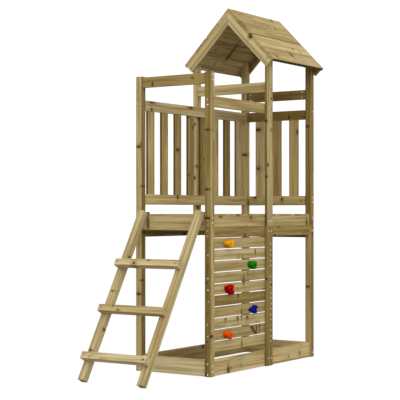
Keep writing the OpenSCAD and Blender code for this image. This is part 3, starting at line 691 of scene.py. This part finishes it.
ZINC = zinc_plating("zinc_plating", SCREWS_SHADED)
dress("ladder_bolts", zinc_plating("zinc_bolts", BOLTS_SHADED, BOLT_BRIGHT, BOLT_DULL))
dress("hold_bolts", zinc_plating("zinc_dull", ALL_SHADED))
for node in ("left_ladder_hook", "right_ladder_hook"):
    dress(node, black_coat())
print("metals: zinc on bolts, black on the ladder hooks")

# %% [markdown]
# ## Screws
# About two hundred countersunk screws hold the frame, and only their heads show. The plain screws in the packed
# frame already sit in their holes, so their places and directions are measured there. One tree of geometry nodes
# makes a head with a cross cut into it and a shank with a point, and puts one at each place.

# %% Where the screws are
MERGE = 1e-5


def solids(node):
    """The points of each separate solid in a CAD node."""
    shape = bmesh.new()
    shape.from_mesh(TIMBER[node].data)
    bmesh.ops.remove_doubles(shape, verts=shape.verts, dist=MERGE)
    waiting, found = set(shape.verts), []
    while waiting:
        reached = [waiting.pop()]
        for vertex in reached:
            near = {e.other_vert(vertex) for e in vertex.link_edges} & waiting
            waiting -= near
            reached.extend(near)
        found.append(np.array([v.co for v in reached]))
    shape.free()
    return found


def measure_screw(points):
    """Middle of the head, direction into the wood, length, and radii of head and shank."""
    middle = points.mean(axis=0)
    way = np.linalg.svd(points - middle)[2][0]
    deep = (points - middle) @ way
    wide = np.linalg.norm(points - middle - np.outer(deep, way), axis=1)
    if deep[np.argmax(wide)] > 0:
        way, deep = -way, -deep
    return middle + way * deep.min(), way, np.ptp(deep), wide.max(), wide[deep > 0].max()


# %% The screw tree
def new_tree(name, sizes):
    """An empty geometry tree with a Geometry input, named sizes and a Geometry output."""
    tree = bpy.data.node_groups.new(name, "GeometryNodeTree")
    tree.interface.new_socket("Geometry", in_out="INPUT", socket_type="NodeSocketGeometry")
    for size in sizes:
        tree.interface.new_socket(size, in_out="INPUT", socket_type="NodeSocketFloat")
    tree.interface.new_socket("Geometry", in_out="OUTPUT", socket_type="NodeSocketGeometry")
    entry = tree.nodes.new("NodeGroupInput")
    return tree, {socket.name: Value(tree, socket) for socket in entry.outputs if socket.name}


def end_tree(tree, result, material):
    """Realizes what was placed, gives it its material and sends it out."""
    plain = result.node("GeometryNodeRealizeInstances", None, {"Geometry": result})
    dressed = plain.node("GeometryNodeSetMaterial", None, {"Geometry": plain, "Material": material})
    way_out = tree.nodes.new("NodeGroupOutput")
    tree.links.new(dressed.socket, way_out.inputs["Geometry"])


TIP_SHARE = 0.12
CROSS_REACH = 1.2
HEAD_SIDES = 20
SHANK_SIDES = 10


def screw_tree(material):
    """Countersunk heads with a cross cut into them, and shanks of length 1 that are stretched to their reach."""
    tree, sizes = new_tree("screws", ["Head Radius", "Shank Radius", "Cross Width", "Cross Depth"])
    head_r, shank_r = sizes["Head Radius"], sizes["Shank Radius"]
    start = sizes["Geometry"]
    head = start.node("GeometryNodeMeshCone", None, {
        "Vertices": HEAD_SIDES, "Radius Bottom": head_r, "Radius Top": shank_r, "Depth": head_r - shank_r})
    long, wide, deep = head_r * CROSS_REACH, sizes["Cross Width"], sizes["Cross Depth"] * 2.0
    arms = [start.node("GeometryNodeMeshCube", None, {"Size": size})
            for size in (vector(long, wide, deep), vector(wide, long, deep))]
    head = head.node("GeometryNodeMeshBoolean", {"operation": "DIFFERENCE"}, {"Mesh 1": head, "Mesh 2": arms})
    body = start.node("GeometryNodeMeshCylinder", None, {
        "Vertices": SHANK_SIDES, "Radius": shank_r, "Depth": 1.0 - TIP_SHARE})
    point = start.node("GeometryNodeMeshCone", None, {
        "Vertices": SHANK_SIDES, "Radius Bottom": shank_r, "Radius Top": 0.0, "Depth": TIP_SHARE})
    body = body.node("GeometryNodeTransform", None, {
        "Geometry": body, "Translation": (0, 0, (1.0 - TIP_SHARE) / 2)})
    point = point.node("GeometryNodeTransform", None, {"Geometry": point, "Translation": (0, 0, 1.0 - TIP_SHARE)})
    shank = body.node("GeometryNodeJoinGeometry", None, {"Geometry": [body, point]})
    way = start.node("GeometryNodeInputNamedAttribute", {"data_type": "FLOAT_VECTOR"}, {"Name": "way"})
    reach = start.node("GeometryNodeInputNamedAttribute", {"data_type": "FLOAT"}, {"Name": "reach"})
    turn = way.node("FunctionNodeAlignRotationToVector", {"axis": "Z"}, {"Vector": way})
    heads = start.node("GeometryNodeInstanceOnPoints", None, {"Points": start, "Instance": head, "Rotation": turn})
    shanks = start.node("GeometryNodeInstanceOnPoints", None, {
        "Points": start, "Instance": shank, "Rotation": turn, "Scale": vector(1.0, 1.0, reach)})
    both = heads.node("GeometryNodeJoinGeometry", None, {"Geometry": [heads, shanks]})
    end_tree(tree, both, material)
    return tree


def grow(name, tree, points, **sizes):
    """Runs a tree on a mesh of points and keeps what it makes as a plain mesh."""
    piece = bpy.data.objects.new(name, points)
    bpy.context.scene.collection.objects.link(piece)
    modifier = piece.modifiers.new("tree", "NODES")
    modifier.node_group = tree
    for item in tree.interface.items_tree:
        key = item.name.replace(" ", "_")
        if item.in_out == "INPUT" and key in sizes:
            modifier[item.identifier] = float(sizes[key])
    evaluated = piece.evaluated_get(bpy.context.evaluated_depsgraph_get())
    shape = bpy.data.meshes.new_from_object(evaluated)
    piece.modifiers.remove(modifier)
    piece.data = shape
    return piece


# %% Put the screws in
CROSS_WIDTH_SHARE = 0.40
CROSS_DEPTH_SHARE = 0.36
SCREWS = screw_tree(ZINC)
for node in ("frame_screws", "board_screws", "deck_screws", "roof_screws"):
    measured = [measure_screw(points) for points in solids(node)]
    places = bpy.data.meshes.new(node + "_places")
    places.from_pydata([m[0] for m in measured], [], [])
    ways = places.attributes.new("way", "FLOAT_VECTOR", "POINT")
    ways.data.foreach_set("vector", np.array([m[1] for m in measured], np.float32).ravel())
    reaches = places.attributes.new("reach", "FLOAT", "POINT")
    reaches.data.foreach_set("value", np.array([m[2] for m in measured], np.float32))
    head_r, shank_r = max(m[3] for m in measured), max(m[4] for m in measured)
    piece = grow(node + "_crossed", SCREWS, places, Head_Radius=head_r, Shank_Radius=shank_r,
                 Cross_Width=head_r * CROSS_WIDTH_SHARE, Cross_Depth=head_r * CROSS_DEPTH_SHARE)
    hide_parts(node)
    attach(piece, "root")
    print(node, len(measured), "screws, head", round(head_r * 2000, 2), "mm, faces", len(piece.data.polygons))

# %% [markdown]
# ## Climbing holds
# A hold is cast in resin with sand in it, bolted through its middle. Its outline has a few fat lobes, its face is
# a dome with thumb dents, and the bolt sits in a round recess. Rings of points around the bolt follow that
# directly: each ring is a share of the outline, so the recess stays round and the rim takes the lobes.

# %% Hold sizes
WALL_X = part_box("climbing_boards")[1].x
HOLD_FOOT = 0.004
BOLT_R = 0.0032
RECESS_R = 0.0066
RECESS_LIP = 0.0022
RECESS_FLOOR = 0.0174
FILLET_IN, FILLET_UP = 0.0004, 0.0006
LIP_ROUND = 0.3
FOOT_SHARE = 0.975
AROUND = 112
DOME_RINGS = 30
DOME_POWER = 3.5
DENT_FADE = 6

# Lobes: (degrees from the back, up positive; how far they reach beyond the core; how far they stand out)
# Dents: (degrees, share of the way from bolt to rim, depth, width)
HOLDS = {
    "yellow_hold": dict(slot="hold_yellow", colour=(0.755, 0.350, 0.006, 1), core=0.0144, depth=0.0310, sharp=4.3,
                        lobes=[(168, 0.0224, 0.0014), (25, 0.0262, 0.0043), (-43, 0.0146, 0.0033)],
                        dents=[(97, 0.85, 0.008, 0.009), (-9, 0.75, 0.004, 0.008), (242, 0.70, 0.004, 0.008)]),
    "green_hold": dict(slot="hold_green", colour=(0.010, 0.165, 0.001, 1), core=0.0187, depth=0.0289, sharp=3.7,
                       lobes=[(165, 0.0252, 0.0020), (40, 0.0099, 0.0038), (-43, 0.0097, 0.0018)],
                       dents=[(72, 0.85, 0.009, 0.009), (0, 0.75, 0.004, 0.008), (240, 0.70, 0.004, 0.008)]),
    "red_hold": dict(slot="hold_red", colour=(0.370, 0.001, 0.001, 1), core=0.0202, depth=0.0312, sharp=6.1,
                     lobes=[(153, 0.0112, 0.0008), (34, 0.0210, 0.0040), (-33, 0.0255, 0.0042)],
                     dents=[(0, 0.88, 0.010, 0.009), (95, 0.70, 0.004, 0.008), (240, 0.68, 0.004, 0.008)]),
    "blue_hold": dict(slot="hold_blue", colour=(0.001, 0.013, 0.215, 1), core=0.0114, depth=0.0305, sharp=6.4,
                      lobes=[(186, 0.0201, 0.0014), (30, 0.0266, 0.0027), (-44, 0.0230, 0.0005)],
                      dents=[(-6, 0.75, 0.004, 0.008), (108, 0.75, 0.004, 0.007), (250, 0.75, 0.004, 0.007)]),
    "orange_hold": dict(slot="hold_orange", colour=(0.750, 0.078, 0.003, 1), core=0.0190, depth=0.0292, sharp=4.2,
                        lobes=[(165, 0.0229, 0.0032), (25, 0.0103, 0.0021), (-48, 0.0092, 0.0019)],
                        dents=[(92, 0.85, 0.008, 0.009), (-8, 0.75, 0.004, 0.008), (235, 0.70, 0.004, 0.008)]),
}
print("holds:", len(HOLDS), "on the wall at x", round(WALL_X, 4))


# %% Hold skin
def lobe_sum(angle, hold, which):
    """What the lobes add at each angle: which is 1 for the outline, 2 for the depth."""
    return sum(lobe[which] * np.exp(hold["sharp"] * (np.cos(angle - math.radians(lobe[0])) - 1.0))
               for lobe in hold["lobes"])


def hold_rings(hold):
    """Rings of points (back, up, out of the wall) from the bolt hole over the dome to the wall and back."""
    angle = np.linspace(0, 2 * math.pi, AROUND, endpoint=False)
    rim = hold["core"] + lobe_sum(angle, hold, 1)
    tall = hold["depth"] + lobe_sum(angle, hold, 2)
    inner = RECESS_R + RECESS_LIP

    def ring(radius, out):
        return np.stack([radius * np.cos(angle), radius * np.sin(angle), out + 0.0 * angle], axis=1)

    rings = [ring(BOLT_R, 0.0), ring(BOLT_R, RECESS_FLOOR), ring(RECESS_R - FILLET_IN, RECESS_FLOOR)]
    dome = []
    for share in np.sin(np.linspace(0.0, 1.0, DOME_RINGS) * math.pi / 2):
        radius = inner + (rim - inner) * share
        out = HOLD_FOOT + (tall - HOLD_FOOT) * (1.0 - share ** DOME_POWER) ** (1.0 / DOME_POWER)
        for degrees, at, deep, wide in hold["dents"]:
            spot = math.radians(degrees)
            spot_r = np.interp(spot % (2 * math.pi), angle, rim, period=2 * math.pi) * at
            off = np.hypot(radius * np.cos(angle) - spot_r * math.cos(spot),
                           radius * np.sin(angle) - spot_r * math.sin(spot))
            out = out - deep * np.exp(-(off / wide) ** 2) * (1.0 - share ** DENT_FADE)
        dome.append(ring(radius, out))
    lip = dome[0][:, 2]
    rings += [ring(RECESS_R, RECESS_FLOOR + FILLET_UP), ring(RECESS_R, lip - RECESS_LIP),
              ring(RECESS_R + RECESS_LIP * LIP_ROUND, lip - RECESS_LIP * LIP_ROUND)]
    return rings + dome + [ring(rim * FOOT_SHARE, 0.0)]


def bolt_middle(node):
    """The middle of the bolt that runs through a hold."""
    low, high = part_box(node)
    bolts = [Vector(points.mean(axis=0)) for points in solids("hold_bolts")]
    return next(b for b in bolts if low.y < b.y < high.y and low.z < b.z < high.z)


def hold_mesh(name, rings, middle):
    """Joins the rings into one closed skin and stands it on the wall."""
    points = np.concatenate(rings)
    places = np.stack([WALL_X + points[:, 2], middle.y + points[:, 0], middle.z + points[:, 1]], axis=1)
    count = len(rings)
    faces = []
    for i in range(count):
        here, there = i * AROUND, (i + 1) % count * AROUND
        faces += [(here + j, here + (j + 1) % AROUND, there + (j + 1) % AROUND, there + j)
                  for j in range(AROUND)]
    mesh = bpy.data.meshes.new(name)
    mesh.from_pydata(places.tolist(), [], faces)
    mesh.shade_smooth()
    shape = bmesh.new()
    shape.from_mesh(mesh)
    bmesh.ops.recalc_face_normals(shape, faces=shape.faces)
    shape.to_mesh(mesh)
    shape.free()
    return mesh


# %% Resin
GRIT_WAVES, CLOUD_WAVES = 1400.0, 70.0
RUBBED_FROM = (0.026, 0.038)
PALER, DEEPER = 1.25, 0.72
RESIN_GLOSS = 0.02


def cast_resin(name, colour):
    """Sandy resin: fine grit, faint clouding, and paler where hands rub the crests."""
    material, shader, place = new_material(name)
    grit = cloud(scaled(place, GRIT_WAVES), 3.0, 0.65)
    clouding = cloud(scaled(place, CLOUD_WAVES), 2.0)
    out, _, _ = split(place)
    rubbed = (out - WALL_X).rise(*RUBBED_FROM) * clouding.rise(0.35, 0.65)
    paler = tuple(min(1.0, c * PALER + 0.001) for c in colour[:3]) + (1,)
    deeper = tuple(c * DEEPER for c in colour[:3]) + (1,)
    base = mix(clouding.rise(0.30, 0.70), colour, deeper)
    base = mix(rubbed * 0.6 + grit.rise(0.62, 0.72) * 0.35, base, paler)
    connect(shader, Base_Color=base, Roughness=0.52 + grit * 0.2 - rubbed * 0.1,
            Normal=relief(grit, 0.4, 0.0005), Specular_IOR_Level=RESIN_GLOSS)
    return material


# %% Make the holds
for node, hold in HOLDS.items():
    low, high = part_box(node)
    mesh = hold_mesh(node + "_cast", hold_rings(hold), bolt_middle(node))
    mesh.materials.append(cast_resin(node + "_resin", hold["colour"]))
    piece = bpy.data.objects.new(node + "_cast", mesh)
    bpy.context.scene.collection.objects.link(piece)
    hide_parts(node)
    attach(piece, "root")
    size = [round(float(s) * 1000) for s in np.ptp([v.co for v in mesh.vertices], axis=0)]
    print(node, "CAD", [round(s * 1000) for s in high - low], "cast", size, "mm")

# %% [markdown]
# ## Floor and light
# The frame stands on a pale floor under an even sky, as on a bright overcast day, with a broad low sun from the
# ladder's right. What the camera sees of the floor is nearly white; what the frame sees of it is a mid grey, so
# that the undersides stay darker than the tops.

# %% Floor
WHITE = (1, 1, 1, 1)
FLOOR_TONE = (0.36, 0.355, 0.34, 1)
FLOOR_ROUGH = 0.9
FLOOR_SHOW = 0.88
FLOOR_GLOW = 1.10
FLOOR_REACH = 40.0
FLOOR_DROP = 0.001


def camera_sees(start):
    """1 for rays from the camera, or seen in metal or through glass."""
    seen = start.node("ShaderNodeLightPath", None, None, "Is Camera Ray")
    for other in ("Is Glossy Ray", "Is Transmission Ray"):
        seen = seen.math("MAXIMUM", seen, seen.node("ShaderNodeLightPath", None, None, other))
    return seen


floor_mesh = bpy.data.meshes.new("floor")
floor_mesh.from_pydata([(x * FLOOR_REACH, y * FLOOR_REACH, -FLOOR_DROP)
                        for x, y in ((-1, -1), (1, -1), (1, 1), (-1, 1))], [], [(0, 1, 2, 3)])
floor = bpy.data.objects.new("floor", floor_mesh)
bpy.context.scene.collection.objects.link(floor)
floor_material, floor_shader, floor_place = new_material("floor_white")
connect(floor_shader, Base_Color=FLOOR_TONE, Roughness=FLOOR_ROUGH)
glow = floor_place.node("ShaderNodeEmission", None, {"Color": WHITE, "Strength": FLOOR_GLOW})
floor_mix = floor_place.node("ShaderNodeMixShader", None, {
    0: camera_sees(floor_place) * FLOOR_SHOW, 2: glow,
    1: Value(floor_material.node_tree, floor_shader.outputs[0])})
floor_output = floor_material.node_tree.nodes["Material Output"]
floor_material.node_tree.links.new(floor_mix.socket, floor_output.inputs["Surface"])
floor_mesh.materials.append(floor_material)
print("floor", FLOOR_REACH * 2, "m wide,", FLOOR_DROP * 1000, "mm below the feet")

# %% Sky and sun
SKY_LIGHT = 1.08
KEY_LIGHT = 1.37
KEY_SPREAD = 50.0
KEY_COLOUR = (1.0, 0.98, 0.94)
KEY_FROM = (0.60, -0.62, 0.66)

world = bpy.data.worlds.new("sky")
bpy.context.scene.world = world
world.use_nodes = True
sky = world.node_tree.nodes["Background"]
sky.inputs["Color"].default_value = WHITE
sky.inputs["Strength"].default_value = SKY_LIGHT

sun_data = bpy.data.lights.new("key", "SUN")
sun_data.energy, sun_data.angle, sun_data.color = KEY_LIGHT, math.radians(KEY_SPREAD), KEY_COLOUR
sun = bpy.data.objects.new("key", sun_data)
sun.rotation_euler = (-Vector(KEY_FROM)).to_track_quat("-Z", "Y").to_euler()
bpy.context.scene.collection.objects.link(sun)
bpy.context.scene.view_settings.view_transform = "Standard"
print("sky", SKY_LIGHT, "key", KEY_LIGHT)
